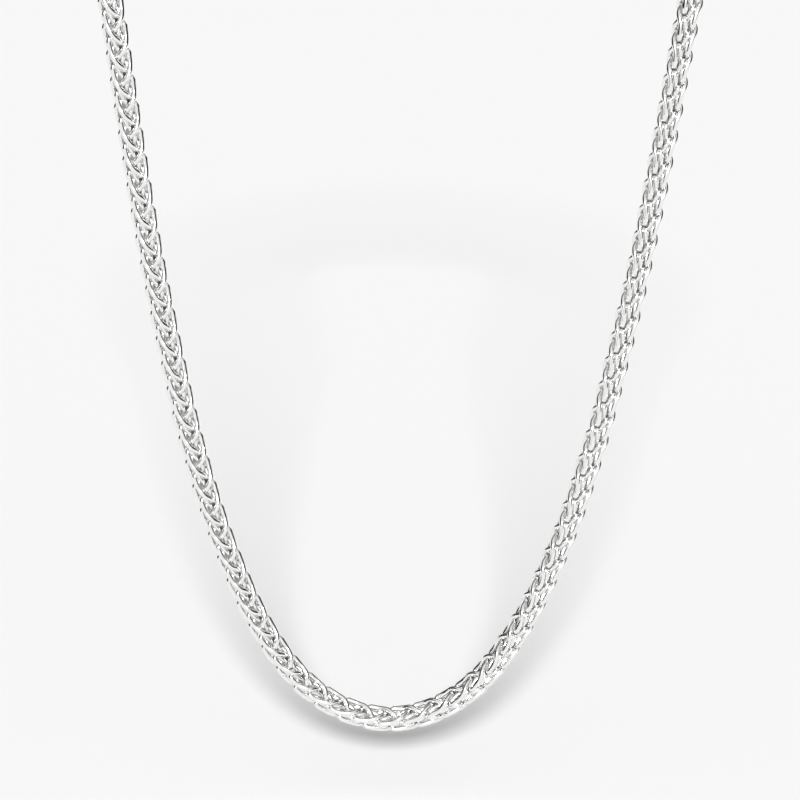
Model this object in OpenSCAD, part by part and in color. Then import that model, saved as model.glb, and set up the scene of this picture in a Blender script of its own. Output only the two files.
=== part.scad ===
// Wheat chain necklace, a closed loop hanging as it is worn. Millimetres.
// +Z is up, the drop of the loop faces -Y, and the neck fills the loop.
// The origin is where the clasp rests against the nape.

/* [Chain] */
// Outside width of the woven chain
chain_w = 3.0; // [2.0:0.1:3.6]
// Sides of the plain round stand-in for the woven links
chain_sides = 8; // [8:1:12]

/* [Loop] */
// Size of the whole loop, 1 being a necklace 500 mm round
loop_size = 1.0; // [0.9:0.02:1.2]

/* [Clasp] */
// Length over both end caps
clasp_len = 14; // [12:0.5:18]
// Diameter of the barrel
clasp_d = 4.8; // [4.6:0.1:6.0]
// Diameter of the end caps that the chain is soldered into
cap_d = 3.8; // [3.7:0.1:4.2]
// Length of each end cap
cap_len = 2.6; // [2.0:0.1:3.0]
// Rounding of the end caps' rims
rim_r = 0.3; // [0.1:0.05:0.3]

/* [Hidden] */

// Facets of each quarter-round in the clasp's outline
ARC_STEPS = 6;

// The barrel rounds down to its end caps in one quarter-round
shoulder_r = (clasp_d - cap_d) / 2;

// Height of the clasp's middle above the lowest point of the loop, and how far behind it
nape_z = 143 * loop_size;
nape_y = 98 * loop_size;

// The right half of the loop, from its lowest point up the front, back round the
// side of the neck and in to the clasp. Columns: half-width, depth, height.
FRONT = [
    [0.0, 0, 0.0],
    [4.9, 0, 1.0],
    [9.2, 0, 3.5],
    [12.6, 0, 7.0],
    [15.4, 0, 11.3],
    [20.4, 0, 22.5],
    [24.1, 0, 34.7],
    [26.9, 0, 47.3],
    [29.3, 0, 60.0],
    [31.3, 0, 73.0],
    [33.2, 0, 86.5]
];
AROUND_NECK = [
    [35.5, 2.0, 99.5],
    [39.0, 7.5, 111.0],
    [43.5, 16.5, 120.5],
    [47.0, 28.0, 127.5],
    [49.0, 41.0, 132.5],
    [48.5, 54.0, 136.0],
    [45.0, 66.5, 138.5],
    [39.0, 78.0, 140.5],
    [30.0, 88.0, 142.0],
    [19.0, 95.0, 143.0]
];
CLASP_END = [clasp_len / 2, nape_y, nape_z];
ROUTE = [for (p = concat(FRONT, AROUND_NECK)) p * loop_size, CLASP_END];

// Longest stretch of the route that one ring of the sweep may follow
RING_GAP = 8;

function unit(v) = v / norm(v);

// A point's image in the plane x = at, which makes the route leave that plane squarely
function mirrored(p, at) = [2 * at - p.x, p.y, p.z];

// The route with a ghost point past each end
LAST = len(ROUTE) - 1;
GHOSTED = concat([mirrored(ROUTE[1], 0)], ROUTE, [mirrored(ROUTE[LAST - 1], ROUTE[LAST].x)]);

// Direction of the route at a ghosted point, weighted by the spans on either side
function heading(i) =
    let (before = GHOSTED[i] - GHOSTED[i - 1], after = GHOSTED[i + 1] - GHOSTED[i])
    let (a = norm(before), b = norm(after))
    (before / a * b + after / b * a) / (a + b);

// The smooth curve through ghosted points i and i + 1, at t from 0 to 1
function on_span(i, t) =
    let (h = norm(GHOSTED[i + 1] - GHOSTED[i]))
    (2 * t ^ 3 - 3 * t ^ 2 + 1) * GHOSTED[i]
    + (t ^ 3 - 2 * t ^ 2 + t) * h * heading(i)
    + (3 * t ^ 2 - 2 * t ^ 3) * GHOSTED[i + 1]
    + (t ^ 3 - t ^ 2) * h * heading(i + 1);

// How many rings follow the span that starts at ghosted point i
function rings_in(i) = ceil(norm(GHOSTED[i + 1] - GHOSTED[i]) / RING_GAP);

CENTRES = concat(
    [for (i = [1:LAST]) for (k = [0:rings_in(i) - 1]) on_span(i, k / rings_in(i))],
    [ROUTE[LAST]]
);
RINGS = len(CENTRES);

// The way each ring faces: square to x at both ends, along its neighbours between
FACING = [
    for (j = [0:RINGS - 1])
    j == 0 ? [1, 0, 0] : j == RINGS - 1 ? [-1, 0, 0] : unit(CENTRES[j + 1] - CENTRES[j - 1])
];

// One side direction per ring, carried along the route with no twist
SIDEWAYS = [
    for (j = 0, n = [0, 1, 0]; j < RINGS;
         j = j + 1, n = j < RINGS ? unit(n - (n * FACING[j]) * FACING[j]) : n) n
];

// Corner k of ring j
function corner(j, k) =
    let (a = 360 * (k + 0.5) / chain_sides, n = SIDEWAYS[j])
    CENTRES[j] + chain_w / 2 * (cos(a) * n + sin(a) * cross(FACING[j], n));

// The chain's right half as one closed tube, standing on the lowest point
module half_loop() {
    n = chain_sides;
    corners = [for (j = [0:RINGS - 1]) for (k = [0:n - 1]) corner(j, k)];
    walls = [
        for (j = [0:RINGS - 2]) for (k = [0:n - 1])
            let (a = j * n + k, b = j * n + (k + 1) % n)
            each [[a, b, b + n], [a, b + n, a + n]]
    ];
    lower_end = [[for (k = [n - 1:-1:0]) k]];
    clasp_end = [[for (k = [0:n - 1]) (RINGS - 1) * n + k]];
    polyhedron(points = corners, faces = reverse_all(concat(walls, lower_end, clasp_end)));
}

// Faces listed clockwise as seen from outside
function reverse_all(faces) = [for (f = faces) [for (k = [len(f) - 1:-1:0]) f[k]]];

// Carries the loop from its lowest point to the nape, the clasp's inner side at the origin
module from_nape() {
    translate([0, clasp_d / 2 - nape_y, -nape_z]) children();
}

module chain_right() {
    color("silver") from_nape() half_loop();
}

module chain_left() {
    color("silver") from_nape() mirror([1, 0, 0]) half_loop();
}

// Quarter-round from angle a0 to a1 about a point of the outline
function arc(at, r, a0, a1) = [
    for (s = [0:ARC_STEPS]) at + r * [cos(a0 + (a1 - a0) * s / ARC_STEPS), sin(a0 + (a1 - a0) * s / ARC_STEPS)]
];

// One half of the clasp's outline: x is the radius, y the place along the axis
function clasp_outline() = concat(
    [[0, 0], [clasp_d / 2, 0]],
    arc([clasp_d / 2 - shoulder_r, clasp_len / 2 - cap_len - shoulder_r], shoulder_r, 0, 90),
    arc([cap_d / 2 - rim_r, clasp_len / 2 - rim_r], rim_r, 0, 90),
    [[0, clasp_len / 2]]
);

// A plain closed barrel lying across the nape
module clasp() {
    color("silver") translate([0, clasp_d / 2, 0]) rotate([0, 90, 0])
        for (end = [0, 1]) mirror([0, 0, end]) rotate_extrude($fn = 48) polygon(clasp_outline());
}

chain_left();
chain_right();
clasp();
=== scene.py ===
"""Wheat chain necklace: woven links and a turned clasp in a plain pale studio.

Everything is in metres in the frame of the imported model: +Z up, the drop faces -Y,
the origin on the clasp's inner side at the nape.
"""
import math

import bpy
import numpy as np
from mathutils import Matrix, Vector


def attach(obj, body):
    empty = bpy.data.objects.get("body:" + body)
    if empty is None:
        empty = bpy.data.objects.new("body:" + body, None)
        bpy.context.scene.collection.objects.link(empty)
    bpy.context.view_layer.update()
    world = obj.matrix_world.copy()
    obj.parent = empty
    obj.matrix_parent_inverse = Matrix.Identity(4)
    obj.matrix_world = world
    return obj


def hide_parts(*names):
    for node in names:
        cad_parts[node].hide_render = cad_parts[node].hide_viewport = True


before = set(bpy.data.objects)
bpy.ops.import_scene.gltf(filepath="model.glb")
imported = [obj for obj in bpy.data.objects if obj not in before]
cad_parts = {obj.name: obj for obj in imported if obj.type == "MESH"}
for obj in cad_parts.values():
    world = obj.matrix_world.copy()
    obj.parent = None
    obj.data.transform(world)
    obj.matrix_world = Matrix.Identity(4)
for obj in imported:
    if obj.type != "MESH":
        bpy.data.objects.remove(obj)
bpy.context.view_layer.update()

MM = 0.001

# The loop's right half, in millimetres from its lowest point: half-width, depth, height
FRONT = [
    [0.0, 0, 0.0],
    [4.9, 0, 1.0],
    [9.2, 0, 3.5],
    [12.6, 0, 7.0],
    [15.4, 0, 11.3],
    [20.4, 0, 22.5],
    [24.1, 0, 34.7],
    [26.9, 0, 47.3],
    [29.3, 0, 60.0],
    [31.3, 0, 73.0],
    [33.2, 0, 86.5],
]
AROUND_NECK = [
    [35.5, 2.0, 99.5],
    [39.0, 7.5, 111.0],
    [43.5, 16.5, 120.5],
    [47.0, 28.0, 127.5],
    [49.0, 41.0, 132.5],
    [48.5, 54.0, 136.0],
    [45.0, 66.5, 138.5],
    [39.0, 78.0, 140.5],
    [30.0, 88.0, 142.0],
    [19.0, 95.0, 143.0],
]
CLASP_LENGTH = 14.0
CLASP_D = 4.8
NAPE_Y = 98.0
NAPE_Z = 143.0
CLASP_END = [CLASP_LENGTH / 2, NAPE_Y, NAPE_Z]
ROUTE_STEPS = 60
# How far the route carries straight on past each end, inside the clasp
ROUTE_OVERRUN = 5.0

# One link, in millimetres: a wire oval folded up into a U, with a base and two crowns.
# The wire and the weave
WIRE_D = 0.624
CHAIN_R = 1.5
PERIOD = 3.12
# The U from the side, as places out from the chain's middle and up from the base
LINK_HEIGHT = 4.32
BASE_TURN = (0.36, 0.36)
LEG_OUT = 1.152
LEG_OUT_AT = 2.64
LEG_TOP_OUT = LEG_OUT * 0.98
LEG_TOP_AT = LEG_OUT_AT + (LINK_HEIGHT - LEG_OUT_AT) * 0.45
CROWN_OUT = 0.9
CROWN_TURN_AT = LEG_OUT_AT + (LINK_HEIGHT - LEG_OUT_AT) * 0.85
SIDE_VIEW_POINTS = 400
# Half the oval's width, and the share of each arm where it is reached and where it closes
BASE_HALF_WIDTH = 0.42
CROWN_HALF_WIDTH = 0.9
WIDEST_FROM = 0.75
CROWN_ROUNDING = 0.3
# Degrees that each crown is tilted about its legs, and the share of the arm that tilts
TWIST = -115
TWIST_FROM = 0.0
TWIST_TO = 0.8
WIRE_SEGMENTS = 60
WIRE_SIDES = 10

# How a link settles: two distances in wire diameters, the strength of each pull and push,
# and the longest move in millimetres that a point makes in one step
CLEAR_WIRES = 1.01
SAME_BEND = 2.2
EVEN_STEPS = 0.5
STIFFNESS = 0.25
KEPT_SHAPE = 0.03
OWN_PUSH = 0.25
NEIGHBOUR_PUSH = 0.5
SQUEEZE = 0.3
LONGEST_MOVE = 0.018
SETTLE_POINTS = 80
SETTLE_STEPS = 700

# How the weave is turned about the chain, in degrees at millimetres from the lowest point
ROLL = [
    (-250.0, 50.0),
    (-82.0, 50.0),
    (-25.0, 58.0),
    (20.0, 106.0),
    (82.0, 116.0),
    (250.0, 116.0),
]
# How far the first and the last link go into the clasp's hollow caps
FIRST_LINK_SINK = 1.0
LAST_LINK_SINK = 0.8

# The clasp, in millimetres
CAP_D = 3.8
CAP_LENGTH = 2.6
RIM_R = 0.15
CUP_R = 1.65
CUP_DEPTH = 1.2
CUP_FILLET = 0.15
GROOVES = 2
GROOVE_W = 0.06
GROOVE_D = 0.06
# Places of the grooves, as shares of the cap's length and as distances from the shoulder
CAP_GROOVE_FROM = 0.45
CAP_GROOVE_STEP = 0.2
BARREL_GROOVE_FROM = 0.6
BARREL_GROOVE_STEP = 0.35
SEAM_W = 0.08
SEAM_D = 0.2
SEAM_BEVEL = 0.04
# A narrow straight band beside the shoulder
SHOULDER_BAND = 0.05
# The radius to which the bottom of the cup closes
CUP_BOTTOM_R = 0.0001
ARC_STEPS = 6
SMALL_ARC_STEPS = 4
LATHE_SIDES = 72
# Degrees from which an edge between two faces stays crisp
SHARP_EDGE = 40

# The silver: colours, noise per metre, roughness, and the marks' strength and depth in metres
CHAIN_COLOUR = (0.93, 0.93, 0.925)
CLASP_COLOUR = (0.92, 0.92, 0.915)
WORN_TINT = (0.97, 0.965, 0.955)
CLOUD = {"Scale": 700.0, "Detail": 5.0, "Roughness": 0.6}
MARKS = {"Scale": 9000.0, "Detail": 3.0, "Roughness": 0.7}
LEAST_ROUGH = 0.04
MOST_ROUGH = 0.16
MARKS_ROUGHEN = 0.08
MARKS_STRENGTH = 0.08
MARKS_DEPTH = 0.00002

# Painted shade in the recesses: dimmer, duller silver there, by depth as a share of the chain's
# radius
RECESS_SHADE_FROM = 0.25
RECESS_SHADE_TO = 0.9
RECESS_SHADE_COLOUR = (0.55, 0.55, 0.55)
RECESS_ROUGHEN = 0.5

# The studio: a floor, and a room that is pale at the front, dim behind and dark at the sides
FLOOR_Z = -0.1528
FLOOR_REACH = 4.0
FLOOR_GREY = 0.88
FRONT_LIGHT = 0.80
FRONT_TO = -0.15
BACK_LIGHT = 0.12
BACK_FROM = 0.45
SCREEN_LIGHT = 0.0
SCREEN_FROM = 0.62
SCREEN_TO = 0.80
BACKDROP = 0.93
LAMP_POWER = 4.5
LAMP_BREADTH = 10
LAMP_HEIGHT = 26.5

# The camera, in metres, degrees and, for the lens and its sensor, millimetres
CAMERA_TARGET = (0.00081, -0.0956, -0.10224)
CAMERA_DISTANCE = 0.300
CAMERA_ELEVATION = 14
CAMERA_ROLL = 0.94
CAMERA_LENS = 112.5
SENSOR_WIDTH = 36
CLIP_START = 0.01
CLIP_END = 20

# Sockets of a Mix node that mixes colours
COLOUR_A = 6
COLOUR_B = 7
COLOUR_OUT = 2


def smooth(low, high, value):
    """Smooth step from 0 at low to 1 at high."""
    t = np.clip((value - low) / (high - low), 0, 1)
    return t * t * (3 - 2 * t)


def b_spline(controls, count):
    """A uniform cubic B-spline through the control points."""
    t = np.linspace(0, len(controls) - 3 - 1e-9, count)
    i = t.astype(int)
    f = (t - i)[:, None]
    a, b, c, d = controls[i], controls[i + 1], controls[i + 2], controls[i + 3]
    return (
        (1 - f) ** 3 * a
        + (3 * f ** 3 - 6 * f ** 2 + 4) * b
        + (-3 * f ** 3 + 3 * f ** 2 + 3 * f + 1) * c
        + f ** 3 * d
    ) / 6


def unit(v):
    """Each row at length one."""
    return v / np.linalg.norm(v, axis=-1, keepdims=True)


def looked_up(at, places, table):
    """Rows of a table of points, read between the places that its rows stand for."""
    return np.stack([np.interp(at, places, column) for column in table.T], 1)


def evenly(points, count):
    """A closed line through points again, at even steps. Returns it and its length."""
    closed = np.vstack([points, points[:1]])
    along = np.r_[0, np.cumsum(np.linalg.norm(np.diff(closed, axis=0), axis=1))]
    at = np.linspace(0, along[-1], count, endpoint=False)
    return looked_up(at, along, closed), along[-1]


def carried(first, way):
    """A side direction at each point of a line, carried along it with no twist."""
    side = np.zeros_like(way)
    side[0] = first
    for i in range(1, len(way)):
        side[i] = unit(side[i - 1] - way[i] * (side[i - 1] @ way[i]))
    return side


def tube_faces(rings, sides, closed):
    """Faces that join each ring of points to the next and, if closed, the last to the first."""
    i, k = np.meshgrid(np.arange(rings if closed else rings - 1), np.arange(sides), indexing="ij")
    j = (i + 1) % rings
    l = (k + 1) % sides
    corners = [i * sides + k, i * sides + l, j * sides + l, j * sides + k]
    return np.stack(corners, -1).reshape(-1, 4)


def folded_link():
    """A first guess at a link's wire: its base at z = 0, its crowns at +x and -x."""
    fold = np.array([
        (0, 0),
        BASE_TURN,
        (LEG_OUT, LEG_OUT_AT),
        (LEG_TOP_OUT, LEG_TOP_AT),
        ((LEG_OUT + CROWN_OUT) / 2, CROWN_TURN_AT),
        (CROWN_OUT, LINK_HEIGHT),
    ])
    fold = np.vstack([fold[1] * (-1, 1), fold, 2 * fold[-1] - fold[-2]])
    side_view = b_spline(fold, SIDE_VIEW_POINTS)
    side_view -= side_view[0]
    along = np.r_[0, np.cumsum(np.hypot(*np.diff(side_view, axis=0).T))]
    turn = np.linspace(0, 2 * np.pi, SETTLE_POINTS, endpoint=False)
    from_base = along[-1] * np.cos(turn)
    share = np.abs(np.cos(turn))
    side = np.sign(np.round(np.sin(turn), 9))
    widening = smooth(0, WIDEST_FROM, share)
    half_width = BASE_HALF_WIDTH + (CROWN_HALF_WIDTH - BASE_HALF_WIDTH) * widening
    closing = np.clip((share - 1 + CROWN_ROUNDING) / CROWN_ROUNDING, 0, 1)
    half_width = side * half_width * np.sqrt(np.maximum(1 - closing ** 2, 0))
    twist = math.radians(TWIST) * np.sign(from_base) * smooth(TWIST_FROM, TWIST_TO, share)
    across = half_width * np.cos(twist)
    inward = half_width * np.sin(twist)
    x, z = looked_up(np.abs(from_base), along, side_view).T
    way = np.gradient(side_view, along, axis=0)
    way_x, way_z = looked_up(np.abs(from_base), along, way).T
    length = np.hypot(way_x, way_z)
    arm = np.where(from_base >= 0, 1.0, -1.0)
    return np.stack([
        arm * (x - inward * way_z / length),
        across,
        z + inward * way_x / length,
    ], 1)


def next_link(points):
    """The points of the next link: a mirror image, turned by a quarter about the chain."""
    return points[:, [1, 0, 2]]


def push_apart(wire, other, skipped=False):
    """How far each point of a wire wants to move to keep clear of another wire."""
    gap = WIRE_D * CLEAR_WIRES
    between = wire[:, None] - other[None]
    distance = np.linalg.norm(between, axis=2) + 1e-9
    touching = (distance < gap) & np.logical_not(skipped)
    weight = np.where(touching, (gap - distance) / distance, 0)
    return (weight[:, :, None] * between).sum(1)


def settle(wire):
    """Relaxes a link until it barely presses on its neighbours and its bends are even."""
    n = len(wire)
    wire, length = evenly(wire, n)
    step = length / n
    order = np.arange(n)
    apart = np.abs(order[:, None] - order[None])
    near_on_wire = np.minimum(apart, n - apart) * step < SAME_BEND * WIRE_D
    opposite = (order + n // 2) % n
    first = wire
    for turn in range(SETTLE_STEPS):
        onward = np.roll(wire, -1, 0) - wire
        stretch = np.linalg.norm(onward, axis=1, keepdims=True)
        pull = EVEN_STEPS * (stretch - step) / stretch * onward
        force = pull - np.roll(pull, 1, 0)
        bend = np.roll(wire, 1, 0) - 2 * wire + np.roll(wire, -1, 0)
        force += KEPT_SHAPE * (first - wire)
        force -= STIFFNESS * (np.roll(bend, 1, 0) - 2 * bend + np.roll(bend, -1, 0))
        force += OWN_PUSH * push_apart(wire, wire, near_on_wire)
        turned = next_link(wire)
        for half_periods in (1, -1, 3, -3):
            neighbour = turned + [0, 0, half_periods * PERIOD / 2]
            force += NEIGHBOUR_PUSH * push_apart(wire, neighbour)
        for periods in (1, -1):
            force += NEIGHBOUR_PUSH * push_apart(wire, wire + [0, 0, periods * PERIOD])
        radius = np.hypot(wire[:, 0], wire[:, 1])[:, None]
        outside = np.clip(radius - (CHAIN_R - WIRE_D / 2), 0, None)
        force[:, :2] -= SQUEEZE * outside / (radius + 1e-9) * wire[:, :2]
        size = np.linalg.norm(force, axis=1, keepdims=True)
        wire = wire + force * np.minimum(1, LONGEST_MOVE / (size + 1e-9))
        wire = (wire + wire[opposite] * (-1, -1, 1)) / 2
    return wire


def wire_tube(line):
    """Points and faces of a closed round wire along a closed line."""
    n = len(line)
    way = unit(np.roll(line, -1, 0) - np.roll(line, 1, 0))
    any_way = (0.3, 0.5, 0.8)
    side = carried(unit(np.cross(way[0], any_way)), way)
    back = unit(side[-1] - way[0] * (side[-1] @ way[0]))
    closing = math.atan2(np.cross(back, side[0]) @ way[0], back @ side[0])
    turn = closing * np.arange(n)[:, None] / n
    side = side * np.cos(turn) + np.cross(way, side) * np.sin(turn)
    other = np.cross(way, side)
    angle = np.linspace(0, 2 * np.pi, WIRE_SIDES, endpoint=False)[None, :, None]
    out = np.cos(angle) * side[:, None] + np.sin(angle) * other[:, None]
    points = (line[:, None] + WIRE_D / 2 * out).reshape(-1, 3)
    return points, tube_faces(n, WIRE_SIDES, closed=True)


def half_route():
    """The right half of the loop's middle line in metres, from its lowest point to the clasp."""
    stops = np.array(FRONT + AROUND_NECK + [CLASP_END], float)
    before_first = stops[1] * (-1, 1, 1)
    past_last = stops[-2] * (-1, 1, 1) + (2 * stops[-1][0], 0, 0)
    ghosted = np.vstack([before_first, stops, past_last])
    span = np.linalg.norm(np.diff(ghosted, axis=0), axis=1)[:, None]
    way = np.diff(ghosted, axis=0) / span
    heading = (way[:-1] * span[1:] + way[1:] * span[:-1]) / (span[1:] + span[:-1])
    t = np.linspace(0, 1, ROUTE_STEPS, endpoint=False)[:, None]
    parts = []
    for i in range(len(stops) - 1):
        h = span[i + 1]
        parts.append(
            (2 * t ** 3 - 3 * t ** 2 + 1) * stops[i]
            + (t ** 3 - 2 * t ** 2 + t) * h * heading[i]
            + (3 * t ** 2 - 2 * t ** 3) * stops[i + 1]
            + (t ** 3 - t ** 2) * h * heading[i + 1]
        )
    line = np.vstack(parts + [stops[-1:]])
    return (line + (0, CLASP_D / 2 - NAPE_Y, -NAPE_Z)) * MM


class Route:
    """The whole chain from the clasp's right end, round the front, to its left end."""

    def __init__(self):
        half = half_route()
        way = unit(np.gradient(half, axis=0))
        way[0] = (1, 0, 0)
        way[-1] = (-1, 0, 0)
        front = carried((0, -1, 0), way)
        mirror = np.array((-1, 1, 1))
        middle = np.vstack([half[::-1], half[1:] * mirror])
        front = np.vstack([front[::-1], front[1:] * mirror])
        way = np.vstack([-way[::-1], way[1:] * mirror])
        overrun = ROUTE_OVERRUN * MM
        before = middle[:1] - way[:1] * overrun
        after = middle[-1:] + way[-1:] * overrun
        self.middle = np.vstack([before, middle, after])
        self.front = np.vstack([front[:1], front, front[-1:]])
        self.way = np.vstack([way[:1], way, way[-1:]])
        along = np.r_[0, np.cumsum(np.linalg.norm(np.diff(self.middle, axis=0), axis=1))]
        self.length = along[-1] - 2 * overrun
        self.along = along - overrun

    def place(self, along, inner, front):
        """Points at a distance along the chain, moved to the loop's inner and front side."""
        middle = looked_up(along, self.along, self.middle)
        way = unit(looked_up(along, self.along, self.way))
        to_front = looked_up(along, self.along, self.front)
        to_front = unit(to_front - way * (to_front * way).sum(1, keepdims=True))
        to_inner = np.cross(way, to_front)
        return middle + inner[:, None] * to_inner + front[:, None] * to_front


def mesh_object(name, points, faces, material):
    """A new smooth-shaded mesh object in one material."""
    mesh = bpy.data.meshes.new(name)
    mesh.from_pydata(points.tolist(), [], faces.tolist())
    mesh.polygons.foreach_set("use_smooth", [True] * len(mesh.polygons))
    mesh.update()
    mesh.materials.append(material)
    piece = bpy.data.objects.new(name, mesh)
    bpy.context.scene.collection.objects.link(piece)
    return piece


def woven_chain(material):
    """All the links, as one piece on each side of the lowest point."""
    wire, length = evenly(settle(folded_link()), WIRE_SEGMENTS)
    points, faces = wire_tube(wire)
    height = points[:, 2].max() - points[:, 2].min()
    points[:, 2] -= points[:, 2].min()
    route = Route()
    lowest_at = route.length / MM / 2
    room = route.length / MM + FIRST_LINK_SINK + LAST_LINK_SINK - height
    count = round(room / (PERIOD / 2)) + 1
    pitch = room / (count - 1)
    print(count, "links of", round(length, 2), "mm of wire,", round(pitch, 4), "mm apart")
    # How deep each point lies inside the chain, which sets the painted shade in the recesses
    depth = 1 - np.hypot(points[:, 0], points[:, 1]) / CHAIN_R
    sides = {"links_right": ([], []), "links_left": ([], [])}
    for i in range(count):
        mirrored = i % 2 == 1
        link = next_link(points) if mirrored else points
        link_faces = faces[:, ::-1] if mirrored else faces
        start = -FIRST_LINK_SINK + i * pitch
        placed, face_lists = sides["links_right" if start + height / 2 < lowest_at else "links_left"]
        along = start + link[:, 2]
        roll = np.radians(np.interp(along - lowest_at, *zip(*ROLL)))
        inner = link[:, 0] * np.cos(roll) + link[:, 1] * np.sin(roll)
        front = link[:, 0] * np.sin(roll) - link[:, 1] * np.cos(roll)
        face_lists.append(link_faces + len(points) * len(placed))
        placed.append(route.place(along * MM, inner * MM, front * MM))
    for name, (placed, face_lists) in sides.items():
        piece = mesh_object(name, np.vstack(placed), np.vstack(face_lists), material)
        # The depth is kept on the mesh so that shade can be painted into the recesses
        recess_shade = piece.data.attributes.new("recess_shade", "FLOAT", "POINT")
        recess_shade.data.foreach_set("value", np.tile(depth, len(placed)).astype(np.float32))
        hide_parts(name.replace("links", "chain"))
        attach(piece, "root")


def arc(middle, radius, start, end, steps=ARC_STEPS):
    """Points on an arc about a point of an outline, from one angle to another in degrees."""
    angles = np.radians(np.linspace(start, end, steps + 1))
    return [(middle[0] + radius * math.cos(a), middle[1] + radius * math.sin(a)) for a in angles]


def groove(radius, at):
    """The outline of a fine groove in a turned face, about a place along the axis."""
    bottom = radius - GROOVE_D
    return [
        (radius, at + GROOVE_W),
        (bottom, at + GROOVE_W / 2),
        (bottom, at - GROOVE_W / 2),
        (radius, at - GROOVE_W),
    ]


def clasp_outline():
    """Half the clasp from the bottom of its cup to the seam: radius and place along the axis."""
    end = CLASP_LENGTH / 2
    barrel_r = CLASP_D / 2
    cap_r = CAP_D / 2
    shoulder_r = barrel_r - cap_r
    shoulder_at = end - CAP_LENGTH
    fillet = (CUP_R - CUP_FILLET, end - CUP_DEPTH + CUP_FILLET)
    half = [(CUP_BOTTOM_R, end - CUP_DEPTH)]
    half += arc(fillet, CUP_FILLET, -90, 0, SMALL_ARC_STEPS)
    half += arc((CUP_R + RIM_R / 2, end - RIM_R / 2), RIM_R / 2, 180, 90, SMALL_ARC_STEPS)
    half += arc((cap_r - RIM_R, end - RIM_R), RIM_R, 90, 0)
    for ring in range(GROOVES):
        half += groove(cap_r, end - CAP_LENGTH * (CAP_GROOVE_FROM + CAP_GROOVE_STEP * ring))
    half += [(cap_r, shoulder_at + SHOULDER_BAND)]
    half += arc((barrel_r - shoulder_r, shoulder_at - shoulder_r), shoulder_r, 90, 0)
    for ring in range(GROOVES):
        from_shoulder = BARREL_GROOVE_FROM + BARREL_GROOVE_STEP * ring
        half += groove(barrel_r, shoulder_at - shoulder_r - from_shoulder)
    return half + [
        (barrel_r, SEAM_W),
        (barrel_r - SEAM_BEVEL, SEAM_W / 2),
        (barrel_r - SEAM_D, SEAM_W / 2),
    ]


def turned_clasp(material):
    """The clasp as turned on a lathe: a screw barrel, its end caps hollowed for the chain."""
    half = clasp_outline()
    outline = half + [(r, -at) for r, at in reversed(half)]
    radius, along = np.array(outline).T
    angle = np.linspace(0, 2 * np.pi, LATHE_SIDES, endpoint=False)
    points = np.stack([
        np.broadcast_to(along[:, None], (len(along), LATHE_SIDES)),
        CLASP_D / 2 + radius[:, None] * np.cos(angle),
        radius[:, None] * np.sin(angle),
    ], -1).reshape(-1, 3) * MM
    faces = tube_faces(len(outline), LATHE_SIDES, closed=False)
    piece = mesh_object("clasp_barrel", points, faces, material)
    split = piece.modifiers.new("edges", "EDGE_SPLIT")
    split.split_angle = math.radians(SHARP_EDGE)
    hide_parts("clasp")
    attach(piece, "root")


def node(tree, kind, links=(), **inputs):
    """A new shader node with its input values, fed from (input, socket) links."""
    new = tree.nodes.new("ShaderNode" + kind)
    for name, value in inputs.items():
        new.inputs[name.replace("_", " ")].default_value = value
    for name, socket in links:
        tree.links.new(socket, new.inputs[name])
    return new


def smooth_range(tree, value, **limits):
    """A value taken smoothly from one range to another."""
    new = node(tree, "MapRange", [("Value", value)], **limits)
    new.interpolation_type = "SMOOTHSTEP"
    return new.outputs["Result"]


def raised(tree, plain, value, by):
    """A plain value raised by another value times a number."""
    new = node(tree, "Math", [(0, value)])
    new.operation = "MULTIPLY_ADD"
    new.inputs[1].default_value = by
    tree.links.new(plain, new.inputs[2])
    return new.outputs[0]


def mixed(tree, share, first, second):
    """A colour that goes from the first, a colour or a socket, to the second, a colour."""
    new = node(tree, "Mix", [("Factor", share)])
    new.data_type = "RGBA"
    if isinstance(first, tuple):
        new.inputs[COLOUR_A].default_value = (*first, 1)
    else:
        tree.links.new(first, new.inputs[COLOUR_A])
    new.inputs[COLOUR_B].default_value = (*second, 1)
    return new.outputs[COLOUR_OUT]


def silver(name, colour, shade_recesses):
    """Bright polished silver, faintly marked by use and, where asked, darkened in its recesses by
    painted shade.
    """
    material = bpy.data.materials.new(name)
    material.use_nodes = True
    tree = material.node_tree
    shader = tree.nodes["Principled BSDF"]
    shader.inputs["Metallic"].default_value = 1
    place = node(tree, "TexCoord").outputs["Object"]
    cloud = node(tree, "TexNoise", [("Vector", place)], **CLOUD).outputs["Fac"]
    marks = node(tree, "TexNoise", [("Vector", place)], **MARKS).outputs["Fac"]
    shine = node(tree, "MapRange", [("Value", cloud)], To_Min=LEAST_ROUGH, To_Max=MOST_ROUGH)
    roughness = raised(tree, shine.outputs["Result"], marks, MARKS_ROUGHEN)
    worn = tuple(part * tint for part, tint in zip(colour, WORN_TINT))
    surface = mixed(tree, cloud, colour, worn)
    if shade_recesses:
        # Painted shade: the silver is darkened towards a grey the deeper the wire lies in the chain
        recess_shade = node(tree, "Attribute")
        recess_shade.attribute_name = "recess_shade"
        depth = recess_shade.outputs["Fac"]
        share = smooth_range(tree, depth, From_Min=RECESS_SHADE_FROM, From_Max=RECESS_SHADE_TO)
        surface = mixed(tree, share, surface, RECESS_SHADE_COLOUR)
        roughness = raised(tree, roughness, share, RECESS_ROUGHEN)
    tree.links.new(surface, shader.inputs["Base Color"])
    tree.links.new(roughness, shader.inputs["Roughness"])
    bump = node(tree, "Bump", [("Height", marks)], Strength=MARKS_STRENGTH, Distance=MARKS_DEPTH)
    tree.links.new(bump.outputs["Normal"], shader.inputs["Normal"])
    return material


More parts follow.
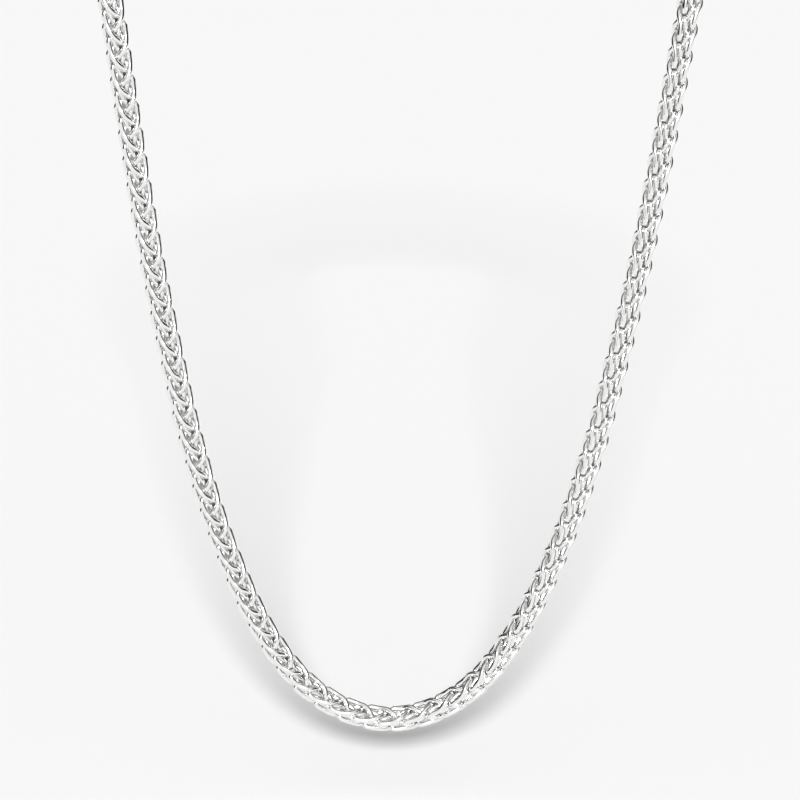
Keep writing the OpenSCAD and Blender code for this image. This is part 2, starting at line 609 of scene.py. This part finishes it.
def pale_floor():
    """A plain pale floor just below the loop."""
    mesh = bpy.data.meshes.new("floor")
    signs = [(-1, -1), (1, -1), (1, 1), (-1, 1)]
    corners = [(x * FLOOR_REACH, y * FLOOR_REACH, FLOOR_Z) for x, y in signs]
    mesh.from_pydata(corners, [], [(0, 1, 2, 3)])
    floor = bpy.data.objects.new("floor", mesh)
    bpy.context.scene.collection.objects.link(floor)
    paint = bpy.data.materials.new("floor_paint")
    paint.use_nodes = True
    shader = paint.node_tree.nodes["Principled BSDF"]
    shader.inputs["Base Color"].default_value = (FLOOR_GREY, FLOOR_GREY, FLOOR_GREY, 1)
    shader.inputs["Roughness"].default_value = 1.0
    shader.inputs["Specular IOR Level"].default_value = 0.0
    mesh.materials.append(paint)


def studio_room():
    """A room that is pale at the front, dim behind, with a dark screen at each side."""
    world = bpy.data.worlds.new("studio")
    bpy.context.scene.world = world
    world.use_nodes = True
    tree = world.node_tree
    way = node(tree, "SeparateXYZ", [("Vector", node(tree, "TexCoord").outputs["Generated"])])
    sideways = node(tree, "Math", [(0, way.outputs["X"])])
    sideways.operation = "ABSOLUTE"
    screen = smooth_range(tree, sideways.outputs[0], From_Min=SCREEN_FROM, From_Max=SCREEN_TO)
    walls = smooth_range(
        tree, way.outputs["Y"],
        From_Min=FRONT_TO, From_Max=BACK_FROM, To_Min=FRONT_LIGHT, To_Max=BACK_LIGHT,
    )
    room = mixed(tree, screen, walls, (SCREEN_LIGHT, SCREEN_LIGHT, SCREEN_LIGHT))
    in_view = node(tree, "LightPath").outputs["Is Camera Ray"]
    seen = mixed(tree, in_view, room, (BACKDROP, BACKDROP, BACKDROP))
    tree.links.new(seen, tree.nodes["Background"].inputs["Color"])


def broad_lamp():
    """One broad lamp, shining from the front and above."""
    lamp = bpy.data.lights.new("lamp", "SUN")
    lamp.energy = LAMP_POWER
    lamp.angle = math.radians(LAMP_BREADTH)
    place = bpy.data.objects.new("lamp", lamp)
    place.rotation_euler = (math.radians(90 - LAMP_HEIGHT), 0, 0)
    bpy.context.scene.collection.objects.link(place)


def photo_camera():
    """The camera at the photograph's viewing angle."""
    lens = bpy.data.cameras.new("camera")
    lens.sensor_width = SENSOR_WIDTH
    lens.lens = CAMERA_LENS
    lens.clip_start = CLIP_START
    lens.clip_end = CLIP_END
    camera = bpy.data.objects.new("camera", lens)
    elevation = math.radians(CAMERA_ELEVATION)
    from_target = Vector((0, -math.cos(elevation), math.sin(elevation)))
    place = Vector(CAMERA_TARGET) + CAMERA_DISTANCE * from_target
    level = Matrix.Rotation(math.pi / 2 - elevation, 4, "X")
    roll = Matrix.Rotation(math.radians(CAMERA_ROLL), 4, "Z")
    camera.matrix_world = Matrix.Translation(place) @ level @ roll
    bpy.context.scene.collection.objects.link(camera)
    bpy.context.scene.camera = camera


bpy.context.scene.view_settings.view_transform = "Standard"
woven_chain(silver("chain_silver", CHAIN_COLOUR, shade_recesses=True))
turned_clasp(silver("clasp_silver", CLASP_COLOUR, shade_recesses=False))
pale_floor()
studio_room()
broad_lamp()
photo_camera()
